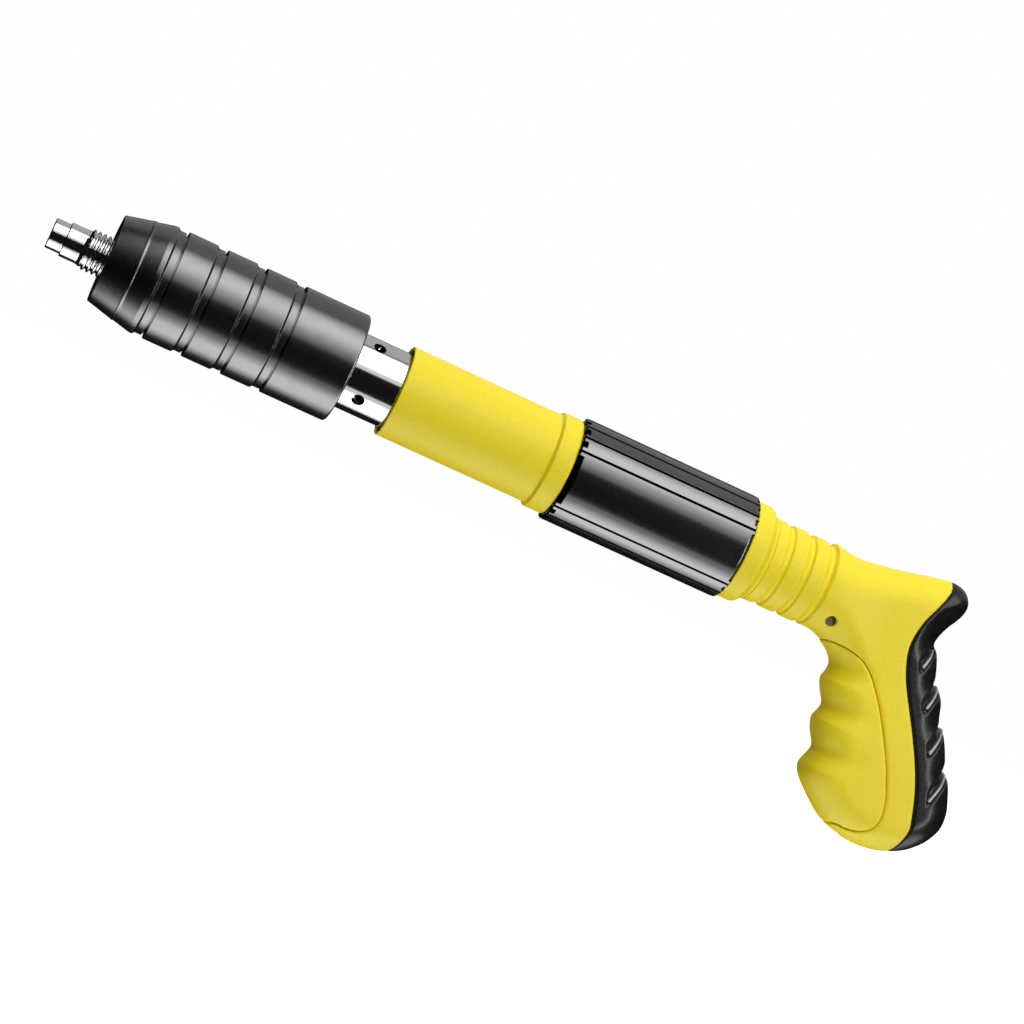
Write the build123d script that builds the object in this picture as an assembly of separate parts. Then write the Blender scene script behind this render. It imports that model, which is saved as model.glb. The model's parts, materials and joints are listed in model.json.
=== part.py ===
from build123d import *
from math import cos, radians, sin, sqrt
import os

os.makedirs("parts", exist_ok=True)

# A push-to-fire nail gun, in millimetres. The bore runs along X with the muzzle face at X = 0 and the
# handle towards +X, the grip hangs down -Z, and the left side of the tool faces -Y.

# ---- nose, muffler and front tube: the barrel group, which slides back into the receiver ----
NAIL_BORE = 7.3
NOSE_END = 62.0  # the nose pipe's rear face
TIP_END, TIP_DIA = 5.8, 11.8
LAND_END, LAND_DIA = 13.2, 13.4
THREAD_DIA, THREAD_PITCH, THREAD_DEPTH = 16.0, 2.0, 1.1
MUFFLER_FRONT, MUFFLER_BREAK, MUFFLER_SHOULDER, MUFFLER_REAR = 22.0, 32.9, 41.0, 119.9
MUFFLER_FACE_DIA, MUFFLER_BREAK_DIA, MUFFLER_DIA, MUFFLER_BORE = 34.3, 39.8, 43.0, 37.0
MUFFLER_GROOVES = (42.2, 57.9, 73.8, 89.8)
GROOVE_LENGTH, GROOVE_DEPTH = 3.8, 0.95
CORE_DIA, CORE_BORE = 16.0, 5.0
TUBE_START, TUBE_END, TUBE_DIA, TUBE_BORE = 104.0, 200.0, 30.0, 25.0
VENT_X, VENT_DIA, VENT_TURN = 127.0, 5.0, 52.0  # the first vent is turned this far up from -Y
BREECH_END, FLANGE_DIA = 206.0, 31.9

# ---- receiver: the housing group ----
SLEEVE_FRONT, BAND_START, SLEEVE_REAR = 139.6, 202.0, 210.1
SLEEVE_DIA, BAND_DIA = 36.0, 38.6
RECEIVER_START, RECEIVER_END, RECEIVER_DIA, RECEIVER_BORE = 143.0, 286.0, 34.0, 32.0
GRIP_END, COUPLING_DIA = 284.9, 42.0
COLLAR_DIA, COLLAR_REAR, NECK_START, NECK_END, NECK_DIA = 39.6, 293.6, 295.6, 321.0, 33.8
PLUG_START, SPIGOT_END, SPIGOT_DIA, SPRING_WELL_END = 274.0, 338.0, 24.0, 320.0
TRIP_START, TRIP_DIA, TRIP_BORE = 259.7, 24.0, 17.0

# ---- firing mechanism, inside the barrel group ----
CAGE_START, CAGE_END, CAGE_DIA, CAGE_BORE = 196.0, 256.0, 16.0, 12.0
BALL_X, BALL_RADIUS, BALL_ORBIT = 232.0, 2.0, 8.2
RING_START, RING_END, RING_DIA, RING_RAMP = 222.0, 240.0, 24.0, 0.5
STRIKER_START, STRIKER_END, STRIKER_NECK_DIA = 211.0, 248.0, 8.6
PIN_TIP, PIN_SHOULDER, PIN_HEAD = 62.5, 68.5, 200.0
RUNNING = 0.05  # radial clearance of a running fit

# ---- handle ----
PIN_X, PIN_Z, CROSS_PIN_DIA, CROSS_PIN_HALF = 328.5, -10.6, 4.0, 11.5
CORE_HALF = 9.5  # half thickness of the shells' core, which the strap and the finger pad wrap around
INSERT_FLOOR = 10.3  # y of the strap inserts' backs
SCREW_SPOTS = ((341, 9), (359, 12), (357, -14), (374, -46), (384, -68))  # x, z
SCREW_SEAT, SCREW_TIP, BOSS_DIA = 9.0, -9.0, 7.2  # y of the head's seat and of the tip


def turned(*outline):
    """A solid of revolution about the bore axis, from (x, radius) points."""
    return revolve(make_face(Polyline(*outline, close=True)), Axis.X)


def tube(start, end, outer, inner):
    """A plain tube about the bore axis, from its ends and its two diameters."""
    return turned((start, inner / 2), (end, inner / 2), (end, outer / 2), (start, outer / 2))


def drill(x, y, z, diameter, direction, length):
    """A cylinder centred on a point, along a direction."""
    return Plane((x, y, z), z_dir=direction) * Cylinder(diameter / 2, length)


def around(angle, radius, x=0.0):
    """A point about the bore axis, angle in degrees from -Y towards +Z."""
    return (x, -radius * cos(radians(angle)), radius * sin(radians(angle)))


def coil(start, end, mean_radius, wire, turns):
    """A compression spring about the bore axis, with its wire just inside both end faces."""
    length = end - start - wire - 0.1
    first = (start + wire / 2 + 0.05, 0, 0)
    path = Helix(length / turns, length, mean_radius, center=first, direction=(1, 0, 0))
    return sweep(Plane(path @ 0, z_dir=path % 0) * Circle(wire / 2), path=path, is_frenet=True)


# ---------------------------------------------------------------- barrel group


def nose_pipe():
    crest, root = THREAD_DIA / 2 - RUNNING, THREAD_DIA / 2 - THREAD_DEPTH
    outline = [(0, NAIL_BORE / 2), (0, TIP_DIA / 2 - 0.6), (0.6, TIP_DIA / 2), (TIP_END, TIP_DIA / 2)]
    outline += [(TIP_END, LAND_DIA / 2 - 0.5), (TIP_END + 0.5, LAND_DIA / 2), (LAND_END, LAND_DIA / 2)]
    for turn in range(int((NOSE_END - LAND_END) / THREAD_PITCH)):
        x = LAND_END + turn * THREAD_PITCH
        outline += [(x + 0.15, root), (x + 0.95, crest), (x + 1.2, crest), (x + 1.99, root)]
    outline += [(NOSE_END, root), (NOSE_END, NAIL_BORE / 2)]
    gas_port = drill(46, 0, 0, 2.0, (0, 0, 1), THREAD_DIA + 2)
    return turned(*outline) - gas_port


def muffler_body():
    outer = MUFFLER_DIA / 2
    outline = [(MUFFLER_FRONT, THREAD_DIA / 2), (MUFFLER_FRONT, MUFFLER_FACE_DIA / 2 - 0.5)]
    outline += [(MUFFLER_FRONT + 0.4, MUFFLER_FACE_DIA / 2), (MUFFLER_BREAK, MUFFLER_BREAK_DIA / 2)]
    outline += [(MUFFLER_SHOULDER, outer)]
    for x in MUFFLER_GROOVES:
        outline += [(x - 0.6, outer), (x, outer - GROOVE_DEPTH)]
        outline += [(x + GROOVE_LENGTH, outer - GROOVE_DEPTH), (x + GROOVE_LENGTH, outer)]
    outline += [(MUFFLER_REAR - 1.2, outer), (MUFFLER_REAR - 0.35, outer - 0.35), (MUFFLER_REAR, outer - 1.2)]
    cavity = MUFFLER_BORE / 2
    outline += [(MUFFLER_REAR, cavity), (44, cavity), (36, cavity - 2), (36, THREAD_DIA / 2)]
    return turned(*outline)


def muffler_end_ring():
    ring = tube(108.9, MUFFLER_REAR - 1.0, MUFFLER_BORE, TUBE_DIA)
    for angle in (0, 180):
        ring -= drill(*around(angle, 16.8, MUFFLER_REAR), 1.8, (1, 0, 0), 8)
    return ring


def muffler_baffles():
    discs = []
    for x in (76, 86, 96):
        disc = tube(x, x + 2, MUFFLER_BORE, CORE_DIA)
        for port in range(8):
            disc -= drill(*around(45 * port, 13.2, x + 1), 5.0, (1, 0, 0), 6)
        discs.append(disc)
    return Compound(children=discs)


def muffler_o_ring():
    section = 1.1
    return Plane((107.6, 0, 0), z_dir=(1, 0, 0)) * Torus(TUBE_DIA / 2 + section, section)


def barrel_core():
    front, step, rear = 54, 72, 186
    collar, body, bore, tip_hole = 10, CORE_DIA / 2, CORE_BORE / 2, 1.25
    return turned(
        (front, THREAD_DIA / 2), (front, collar), (step, collar), (step, body), (rear, body),
        (rear, bore), (66, bore), (66, tip_hole), (NOSE_END, tip_hole), (NOSE_END, THREAD_DIA / 2),
    )


def front_tube():
    body = tube(TUBE_START, TUBE_END, TUBE_DIA, TUBE_BORE)
    for quarter in range(4):
        angle = VENT_TURN + 90 * quarter
        body -= drill(*around(angle, 13.5, VENT_X), VENT_DIA, around(angle, 1), 8)
    return body


def breech_block():
    front, rear = 180, BREECH_END
    bore, core, cage, flange = CORE_BORE / 2, CORE_DIA / 2, CAGE_DIA / 2, FLANGE_DIA / 2
    return turned(
        (front, core), (front, TUBE_BORE / 2), (TUBE_END, TUBE_BORE / 2), (TUBE_END, flange),
        (rear, flange), (rear, cage), (CAGE_START, cage), (CAGE_START, bore), (186, bore), (186, core),
    )


def ball_cage():
    cage = tube(CAGE_START, CAGE_END, CAGE_DIA, CAGE_BORE)
    for angle in (90, 210, 330):
        cage -= drill(*around(angle, 7, BALL_X), 2 * (BALL_RADIUS + RUNNING), around(angle, 1), 5)
    return cage


def sear_ball(angle):
    return Pos(*around(angle, BALL_ORBIT, BALL_X)) * Sphere(BALL_RADIUS)


def lock_ring():
    """Its inner ramp touches the balls when they are out, and drives them in by RING_RAMP of its travel."""
    land, relief, wall = CAGE_DIA / 2 + RUNNING, 10.6, RING_DIA / 2
    gap = (BALL_RADIUS + RUNNING) * sqrt(1 + RING_RAMP**2)
    ramp_start = BALL_X + (land - BALL_ORBIT - gap) / RING_RAMP
    ramp_end = BALL_X + (relief - BALL_ORBIT - gap) / RING_RAMP
    return turned(
        (RING_START, land), (ramp_start, land), (ramp_end, relief), (236.3, relief), (236.3, land),
        (RING_END, land), (RING_END, wall - 0.6), (RING_END - 0.6, wall), (RING_START, wall),
    )


def striker():
    guide, neck = CAGE_BORE / 2 - RUNNING, STRIKER_NECK_DIA / 2
    return turned(
        (STRIKER_START, 0), (STRIKER_START, 3.0), (STRIKER_START + 2.9, guide), (229.6, guide), (229.6, neck),
        (234.2, neck), (234.2, guide), (237.6, guide), (237.6, neck), (242.0, neck), (242.0, guide),
        (STRIKER_END, guide), (STRIKER_END, 0),
    )


def firing_pin():
    shaft = CORE_BORE / 2 - 0.08
    return turned(
        (PIN_TIP, 0), (PIN_TIP, 0.8), (PIN_TIP + 0.4, 1.2), (PIN_SHOULDER, 1.2), (PIN_SHOULDER, shaft),
        (PIN_HEAD, shaft), (PIN_HEAD, 4.5), (PIN_HEAD + 3, 4.5), (PIN_HEAD + 3, 0),
    )


# --------------------------------------------------------------- housing group


def front_sleeve():
    outer, band, bore = SLEEVE_DIA / 2, BAND_DIA / 2, RECEIVER_DIA / 2
    return turned(
        (SLEEVE_FRONT, bore), (SLEEVE_FRONT, bore + 0.25), (SLEEVE_FRONT + 0.4, outer - 0.3),
        (SLEEVE_FRONT + 1.2, outer), (BAND_START - 0.6, outer), (BAND_START + 0.4, band - 0.3),
        (BAND_START + 1.1, band), (SLEEVE_REAR - 1.5, band), (SLEEVE_REAR - 0.4, band - 0.5),
        (SLEEVE_REAR, band - 1.4), (SLEEVE_REAR, bore),
    )


def coupling_grip():
    """Three broad panels with three narrow ribs between each pair, cut by straight grooves."""
    outer, bore, chamfer = COUPLING_DIA / 2, RECEIVER_DIA / 2, 1.5
    grip = turned(
        (SLEEVE_REAR, bore), (SLEEVE_REAR, outer - chamfer), (SLEEVE_REAR + chamfer, outer),
        (GRIP_END - chamfer, outer), (GRIP_END, outer - chamfer), (GRIP_END, bore),
    )
    panel_middle, panel_half, rib = 10.15, 33.65, 17.57
    groove = Box(GRIP_END - SLEEVE_REAR + 2, 2.4, 1.0)
    for panel in range(3):
        for line in range(4):
            angle = panel_middle + 120 * panel + panel_half + rib * line
            grip -= Pos((SLEEVE_REAR + GRIP_END) / 2, 0, 0) * Rot(angle, 0, 0) * Pos(0, -outer, 0) * groove
    return grip


def neck_collar():
    outer, spigot, receiver = COLLAR_DIA / 2, SPIGOT_DIA / 2, RECEIVER_DIA / 2
    return turned(
        (GRIP_END, receiver), (GRIP_END, outer), (COLLAR_REAR, outer), (NECK_START, NECK_DIA / 2),
        (NECK_START, spigot), (RECEIVER_END, spigot), (RECEIVER_END, receiver),
    )


def neck_sleeve():
    """The ribbed neck: soft grooves with a gentle front slope and a steep rear one."""
    rib, groove = NECK_DIA / 2, NECK_DIA / 2 - 1.1
    outline = [(NECK_START, SPIGOT_DIA / 2), (NECK_START, rib)]
    for x in (301.4, 310.4, 319.2):
        outline += [(x - 1.6, rib), (x - 0.2, groove), (x + 0.4, groove), (x + 1.1, rib)]
    outline += [(NECK_END, rib), (NECK_END, SPIGOT_DIA / 2)]
    return turned(*outline)


def rear_plug():
    body, spigot, well, rod = RECEIVER_BORE / 2, SPIGOT_DIA / 2, CAGE_BORE / 2, 3.4
    plug = turned(
        (PLUG_START, well), (PLUG_START, body), (RECEIVER_END, body), (RECEIVER_END, spigot),
        (SPIGOT_END, spigot), (SPIGOT_END, 0), (326, 0), (326, rod),
        (SPRING_WELL_END, rod), (SPRING_WELL_END, well),
    )
    return plug - cross_pin_space(60)


def spring_guide():
    return turned((266, 0), (266, 2.6), (266.8, 3.4), (326, 3.4), (326, 0))


def cross_pin_space(length):
    return drill(PIN_X, 0, PIN_Z, CROSS_PIN_DIA, (0, 1, 0), length)


# ---------------------------------------------------------------------- handle


def body_form():
    """The part of the handle in line with the bore, from the neck to the tail horn."""
    stations = (  # x, bottom, top, width, corner radius
        (NECK_END, -16.9, 16.9, NECK_DIA, 16.8), (330.0, -17.5, 16.4, 33.0, 15.0),
        (345.0, -16.0, 18.1, 31.0, 13.5), (360.0, -9.5, 20.8, 28.0, 12.5),
        (370.0, -3.0, 22.7, 24.5, 11.0), (375.5, 3.0, 22.4, 20.0, 9.0),
        (378.8, 9.0, 20.4, 14.0, 5.2), (380.0, 12.5, 17.2, 7.0, 2.0),
    )
    sections = []
    for x, bottom, top, width, radius in stations:
        place = Plane((x, 0, (bottom + top) / 2), x_dir=(0, 1, 0), z_dir=(1, 0, 0))
        sections.append(place * RectangleRounded(width, top - bottom, radius))
    return loft(sections)


def grip_form():
    """The grip, from inside the body down to its rounded foot."""
    stations = (  # z, front, rear, width
        (0.0, 336.0, 374.0, 27.0), (-10.0, 334.5, 378.6, 27.0), (-20.0, 334.5, 385.2, 27.5),
        (-33.0, 338.2, 393.0, 28.5), (-47.0, 341.5, 400.4, 30.0), (-60.0, 344.0, 406.0, 31.0),
        (-68.0, 346.0, 406.6, 31.0), (-76.0, 352.2, 402.0, 29.0), (-82.0, 361.5, 393.8, 22.0),
        (-85.8, 371.5, 384.0, 9.0),
    )
    sections = []
    for z, front, rear, width in stations:
        place = Plane(((front + rear) / 2, 0, z), x_dir=(1, 0, 0), z_dir=(0, 0, 1))
        sections.append(place * SlotOverall(rear - front, width))
    return loft(sections)


def finger_valleys():
    valleys = ((330.6, -26.5, 17.0), (333.6, -41.5, 18.0), (336.6, -57.0, 19.0))  # x, z, diameter
    return [drill(x, 0, z, diameter, (0, 1, 0), 60) for x, z, diameter in valleys]


def side_block(corners, half_thickness):
    """A block between two planes parallel to the mid plane, from (x, z) corners."""
    face = make_face(Polyline(*[(x, 0, z) for x, z in corners], close=True))
    return extrude(face, amount=half_thickness, dir=(0, 1, 0), both=True)


def core_block():
    """The shells' core, which stays whole behind the strap and the finger pad."""
    outline = ((338, 0), (341, -22), (345, -40), (350, -66), (359, -77), (373, -81), (391, -76), (399, -66),
               (397, -54), (386, -30), (374, -6), (369, 3), (372, 10), (372, 17), (362, 17))
    return side_block(outline, CORE_HALF)


def side_region(points, corners):
    """A block through the handle, bounded by a smooth seam through points and by straight corners."""
    seam = Spline(*[(x, 0, z) for x, z in points])
    rest = Polyline(*[(x, 0, z) for x, z in (points[-1], *corners, points[0])])
    return extrude(make_face(Wire([seam, *rest.edges()])), amount=30, dir=(0, 1, 0), both=True)


def pad_region():
    seam = ((331, -18.6), (342, -19.6), (350.5, -23.5), (360, -36), (370.5, -53), (377.6, -68),
            (377.4, -77), (371, -82), (362, -83.2))
    return side_region(seam, ((350, -95), (315, -70), (320, -22)))


def strap_region():
    seam = ((371.8, 27), (368.5, 17), (363.2, 4.2), (361.4, -6.5), (364.8, -18), (373, -32),
            (382.5, -48.5), (389.5, -64), (391.5, -75), (390.2, -90))
    return side_region(seam, ((420, -90), (420, 27)))


def insert_bars(side):
    """Four slanted bars in one side of the strap: side is -1 for left and +1 for right."""
    bars = []
    for x, z, length in ((370.9, -9.0, 6.5), (379.0, -22.4, 7.4), (387.4, -37.4, 8.6), (395.0, -53.6, 10.0)):
        bars.append(Pos(x, side * (INSERT_FLOOR + 5), z) * Rot(0, -74, 0) * Box(length, 10, 1.7))
    return Compound(bars)


def half_space(side):
    """Everything on one side of the mid plane: side is -1 for left and +1 for right."""
    return Pos(360, side * 30, -30) * Box(140, 60, 160)


def shell_cavity():
    """The hollows inside the shells, with the screw bosses left standing in them."""
    grip_outline = ((347, -22), (352, -45), (356, -66), (366, -75),
                    (386, -71), (392, -62), (378, -34), (371, -22))
    cavity = side_block(grip_outline, CORE_HALF - 2.5) + Pos(354.5, 0, 1) * Box(17, 2 * CORE_HALF, 20)
    for x, z in SCREW_SPOTS:
        cavity -= drill(x, 0, z, BOSS_DIA, (0, 1, 0), 60)
    return cavity


def handle_screws():
    screws = []
    for x, z in SCREW_SPOTS:
        shank = drill(x, (SCREW_SEAT + SCREW_TIP) / 2, z, 2.9, (0, 1, 0), SCREW_SEAT - SCREW_TIP)
        head = drill(x, SCREW_SEAT + 1.1, z, 5.8, (0, 1, 0), 2.2)
        recess = Pos(x, SCREW_SEAT + 2.2, z) * (Box(3.4, 2.0, 0.9) + Box(0.9, 2.0, 3.4))
        screws.append(shank + head - recess)
    return Compound(children=screws)


def screw_holes():
    holes = []
    for x, z in SCREW_SPOTS:
        holes.append(drill(x, 0, z, 3.0, (0, 1, 0), 2 * SCREW_SEAT + 1))
        holes.append(drill(x, SCREW_SEAT + 10, z, 6.0, (0, 1, 0), 20))
    return Compound(holes)


def write(name, shape):
    export_step(shape, f"parts/{name}.step")


def write_handle():
    """The shells, the finger pad and the strap are cut from one outer form, so that they fit together."""
    outer = body_form() + grip_form() - finger_valleys()
    pad_zone = pad_region() - core_block()
    strap_zone = strap_region() - core_block() - pad_zone
    write("finger_pad", outer & pad_zone)
    strap = outer & strap_zone
    write("back_strap", strap - insert_bars(-1) - insert_bars(1))
    shells = outer - pad_zone - strap_zone
    shells -= tube(RECEIVER_END, SPIGOT_END, SPIGOT_DIA, 0)
    shells -= shell_cavity()
    shells -= cross_pin_space(60)
    shells -= screw_holes()
    for side, name in ((-1, "left"), (1, "right")):
        write(f"handle_{name}", shells & half_space(side))
        write(f"strap_inserts_{name}", strap & insert_bars(side))


write("nose_pipe", nose_pipe())
write("muffler_body", muffler_body())
write("muffler_end_ring", muffler_end_ring())
write("muffler_baffles", muffler_baffles())
write("muffler_o_ring", muffler_o_ring())
write("barrel_core", barrel_core())
write("front_tube", front_tube())
write("breech_block", breech_block())
write("ball_cage", ball_cage())
for number, angle in enumerate((90, 210, 330), start=1):
    write(f"sear_ball_{number}", sear_ball(angle))
write("lock_ring", lock_ring())
write("lock_ring_spring", coil(BREECH_END, RING_START, 9.6, 1.2, 3.5))
write("firing_pin", firing_pin())
write("firing_pin_spring", coil(CAGE_START, PIN_HEAD, 3.6, 0.6, 3))
write("striker", striker())
write("main_spring", coil(STRIKER_END, SPRING_WELL_END, 4.8, 1.4, 18))
write("return_spring", coil(BREECH_END, PLUG_START, 14.2, 2.4, 8.5))

write("front_sleeve", front_sleeve())
write("wiper_ring", tube(SLEEVE_FRONT + 0.8, RECEIVER_START, RECEIVER_DIA, TUBE_DIA + 0.4))
write("receiver_tube", tube(RECEIVER_START, RECEIVER_END, RECEIVER_DIA, RECEIVER_BORE))
write("guide_bush", tube(RECEIVER_START, 163, RECEIVER_BORE, TUBE_DIA + 2 * RUNNING))
write("stop_ring", tube(193.5, 196.5, RECEIVER_BORE, TUBE_DIA + 0.4))
write("buffer_ring", tube(196.5, 199.6, RECEIVER_BORE, TUBE_DIA + 0.6))
write("coupling_grip", coupling_grip())
write("neck_collar", neck_collar())
write("neck_sleeve", neck_sleeve())
write("rear_plug", rear_plug())
write("trip_sleeve", tube(TRIP_START, PLUG_START, TRIP_DIA, TRIP_BORE))
write("spring_guide", spring_guide())
write("cross_pin", cross_pin_space(2 * CROSS_PIN_HALF))
write("handle_screws", handle_screws())
write_handle()
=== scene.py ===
"""The looks of a push-to-fire nail gun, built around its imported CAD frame. Lengths are in millimetres
until a mesh is written, in the frame's axes: X along the bore from the muzzle, Z up, left side at -Y."""

import json
import math

import bpy
import numpy as np
from mathutils import Matrix, Vector


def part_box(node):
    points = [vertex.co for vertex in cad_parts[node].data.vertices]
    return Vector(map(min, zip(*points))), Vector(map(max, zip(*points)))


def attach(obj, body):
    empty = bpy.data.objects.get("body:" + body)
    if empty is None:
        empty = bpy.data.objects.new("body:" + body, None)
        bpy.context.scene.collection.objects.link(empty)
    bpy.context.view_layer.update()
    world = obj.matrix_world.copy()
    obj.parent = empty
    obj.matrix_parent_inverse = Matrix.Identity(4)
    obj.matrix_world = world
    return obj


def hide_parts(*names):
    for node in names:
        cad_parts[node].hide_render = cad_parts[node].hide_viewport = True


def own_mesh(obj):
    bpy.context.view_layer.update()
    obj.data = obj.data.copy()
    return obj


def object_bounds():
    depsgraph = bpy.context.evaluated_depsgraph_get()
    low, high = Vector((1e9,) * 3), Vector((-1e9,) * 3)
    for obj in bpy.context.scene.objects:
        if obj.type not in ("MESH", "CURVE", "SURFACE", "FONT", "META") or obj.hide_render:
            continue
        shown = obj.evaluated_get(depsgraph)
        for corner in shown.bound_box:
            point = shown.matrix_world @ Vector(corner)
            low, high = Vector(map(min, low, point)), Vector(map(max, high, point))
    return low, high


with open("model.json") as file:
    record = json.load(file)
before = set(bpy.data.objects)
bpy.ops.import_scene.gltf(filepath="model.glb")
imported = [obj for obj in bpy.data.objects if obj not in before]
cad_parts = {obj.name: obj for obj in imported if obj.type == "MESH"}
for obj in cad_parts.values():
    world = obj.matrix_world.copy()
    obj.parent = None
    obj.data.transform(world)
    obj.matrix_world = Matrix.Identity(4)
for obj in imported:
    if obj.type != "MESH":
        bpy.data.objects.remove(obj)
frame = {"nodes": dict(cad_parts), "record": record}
CAD_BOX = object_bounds()

MM = 0.001
HOUSING, BARREL = "housing", "barrel"
TURN_STEPS, ARC_STEPS = 192, 5  # facets round a turned piece, and along a rounded corner
SHARP_ANGLE = math.radians(38)

# Places along the bore, and radii from it, that several pieces share.
COUPLING_START, COUPLING_END, NECK_START, NECK_END = 210.1, 284.9, 295.6, 321.0
COUPLING_RADIUS, RECEIVER_RADIUS, NECK_RADIUS, SPIGOT_RADIUS = 21.0, 17.0, 16.9, 12.0


# ------------------------------------------------------------------ materials


class Shader:
    """A Principled material and short ways to add the nodes that shape its detail."""

    def __init__(self, name, color, roughness, metallic=0.0, specular=0.5):
        self.material = bpy.data.materials.new(name)
        self.material.use_nodes = True
        self.tree = self.material.node_tree
        self.bsdf = self.tree.nodes["Principled BSDF"]
        self.bsdf.inputs["Base Color"].default_value = (*color, 1)
        self.bsdf.inputs["Roughness"].default_value = roughness
        self.bsdf.inputs["Metallic"].default_value = metallic
        self.bsdf.inputs["Specular IOR Level"].default_value = specular
        self.place = self.node("ShaderNodeTexCoord").outputs["Object"]
        self.bump = None

    def node(self, kind, **values):
        made = self.tree.nodes.new(kind)
        for name, value in values.items():
            made.inputs[name.replace("_", " ")].default_value = value
        return made

    def link(self, source, target):
        self.tree.links.new(source, target)

    def stretched(self, scale):
        """Object coordinates in metres, stretched by a factor along each axis."""
        mapping = self.node("ShaderNodeMapping")
        mapping.inputs["Scale"].default_value = scale
        self.link(self.place, mapping.inputs["Vector"])
        return mapping.outputs["Vector"]

    def noise(self, grain_mm, detail, scale=(1, 1, 1)):
        """Noise whose blotches are about grain_mm across."""
        made = self.node("ShaderNodeTexNoise", Scale=1.0 / (grain_mm * MM), Detail=detail)
        self.link(self.stretched(scale), made.inputs["Vector"])
        return made.outputs["Fac"]

    def ramp(self, fac, low, high, start=0.35, end=0.65):
        """A value or a colour that runs from low to high as fac runs from start to end."""
        if isinstance(low, tuple):
            made = self.node("ShaderNodeValToRGB")
            first, last = made.color_ramp.elements
            first.position, first.color = start, (*low, 1)
            last.position, last.color = end, (*high, 1)
            self.link(fac, made.inputs["Fac"])
            return made.outputs["Color"]
        made = self.node("ShaderNodeMapRange")
        for socket, value in zip(("From Min", "From Max", "To Min", "To Max"), (start, end, low, high)):
            made.inputs[socket].default_value = value
        self.link(fac, made.inputs["Value"])
        return made.outputs["Result"]

    def vary_color(self, fac, low, high, start=0.35, end=0.65):
        self.link(self.ramp(fac, low, high, start, end), self.bsdf.inputs["Base Color"])

    def vary_roughness(self, fac, low, high):
        self.link(self.ramp(fac, low, high), self.bsdf.inputs["Roughness"])

    def blend_base(self, color, factor, color_end):
        """Mixes a colour into the base colour. The colour is at that end of the mix: A at 0, or B at 1."""
        blend = self.node("ShaderNodeMix")
        blend.data_type = "RGBA"
        base = self.bsdf.inputs["Base Color"]
        blend.inputs[color_end].default_value = (*color, 1)
        self.link(base.links[0].from_socket, blend.inputs["B" if color_end == "A" else "A"])
        self.link(factor, blend.inputs["Factor"])
        self.link(blend.outputs["Result"], base)

    def bore_radius(self):
        """Distance from the bore axis, as a fraction of the coupling's outer radius."""
        made = self.node("ShaderNodeVectorMath")
        made.operation = "LENGTH"
        per_radius = 1 / (COUPLING_RADIUS * MM)
        self.link(self.stretched((0, per_radius, per_radius)), made.inputs[0])
        return made.outputs["Value"]

    def paint_slot_shade(self, radius_mm, behind_mm):
        """Paints shade into slots and hollows: makes the surface nearly black below a radius, behind a place
        along the bore.
        """
        split, either = self.node("ShaderNodeSeparateXYZ"), self.node("ShaderNodeMath")
        either.operation = "MAXIMUM"
        self.link(self.place, split.inputs[0])
        radius, blur = radius_mm / COUPLING_RADIUS, 0.002
        above = self.ramp(self.bore_radius(), 0.0, 1.0, radius - blur, radius + blur)
        ahead = self.ramp(split.outputs["X"], 1.0, 0.0, behind_mm * MM, (behind_mm + 0.1) * MM)
        self.link(above, either.inputs[0])
        self.link(ahead, either.inputs[1])
        # Painted shade: near-black shows where the surface is below the radius and behind the place along the
        # bore.
        self.blend_base((0.008, 0.008, 0.008), either.outputs[0], "A")

    def worn_edges(self, color):
        """Lets a lighter colour show where convex edges have been rubbed."""
        edge = self.node("ShaderNodeNewGeometry").outputs["Pointiness"]
        self.blend_base(color, self.ramp(edge, 0.0, 1.0, 0.55, 0.64), "B")

    def add_bump(self, height, depth_mm):
        """Relief of about depth_mm, on top of any relief added before."""
        made = self.node("ShaderNodeBump", Distance=depth_mm * MM, Strength=1.0)
        self.link(height, made.inputs["Height"])
        if self.bump:
            self.link(self.bump, made.inputs["Normal"])
        self.bump = made.outputs["Normal"]
        self.link(self.bump, self.bsdf.inputs["Normal"])


RUBBED_METAL = (0.28, 0.28, 0.29)


def yellow_plastic():
    made = Shader("yellow_plastic", (0.88, 0.72, 0.02), 0.42, specular=0.3)
    made.vary_color(made.noise(0.9, 4), (0.895, 0.715, 0.012), (0.955, 0.77, 0.017))
    made.vary_roughness(made.noise(1.2, 2), 0.38, 0.52)
    made.add_bump(made.noise(0.55, 2), 0.035)
    made.add_bump(made.noise(3.0, 2), 0.03)
    return made.material


def black_anodised():
    made = Shader("black_anodised", (0.18, 0.18, 0.182), 0.3, metallic=1.0)
    made.vary_color(made.noise(4, 3), (0.174, 0.174, 0.177), (0.186, 0.186, 0.188))
    # Painted shade in the muffler's slots and hollow: nearly black below 20.2 mm from the bore, behind 41 mm.
    made.paint_slot_shade(radius_mm=20.2, behind_mm=41.0)
    made.vary_roughness(made.noise(1.5, 2), 0.22, 0.24)
    made.worn_edges(RUBBED_METAL)
    made.add_bump(made.noise(0.5, 2, scale=(6, 1, 1)), 0.0004)
    return made.material


def black_coupling():
    """Polished black on the panels and ribs, and painted shade that makes the grooves below them nearly
    black.
    """
    # groove is the colour of the painted shade in the grooves, below groove_rim of the coupling's radius.
    face, groove, groove_rim = (0.19, 0.19, 0.192), (0.012, 0.012, 0.012), 0.986
    made = Shader("black_coupling", face, 0.25, metallic=1.0)
    # Painted shade: the grooves' near-black turns to the face colour at groove_rim.
    made.vary_color(made.bore_radius(), groove, face, groove_rim, groove_rim + 0.003)
    made.worn_edges(RUBBED_METAL)
    made.vary_roughness(made.noise(1.5, 2), 0.195, 0.215)
    made.add_bump(made.noise(0.6, 2, scale=(0.2, 1, 1)), 0.0005)
    return made.material


def chrome_steel():
    made = Shader("chrome_steel", (0.82, 0.82, 0.84), 0.1, metallic=1.0)
    made.vary_roughness(made.noise(1.5, 4, scale=(4, 1, 1)), 0.08, 0.14)
    made.add_bump(made.noise(0.3, 2, scale=(8, 0.4, 0.4)), 0.002)
    return made.material


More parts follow.
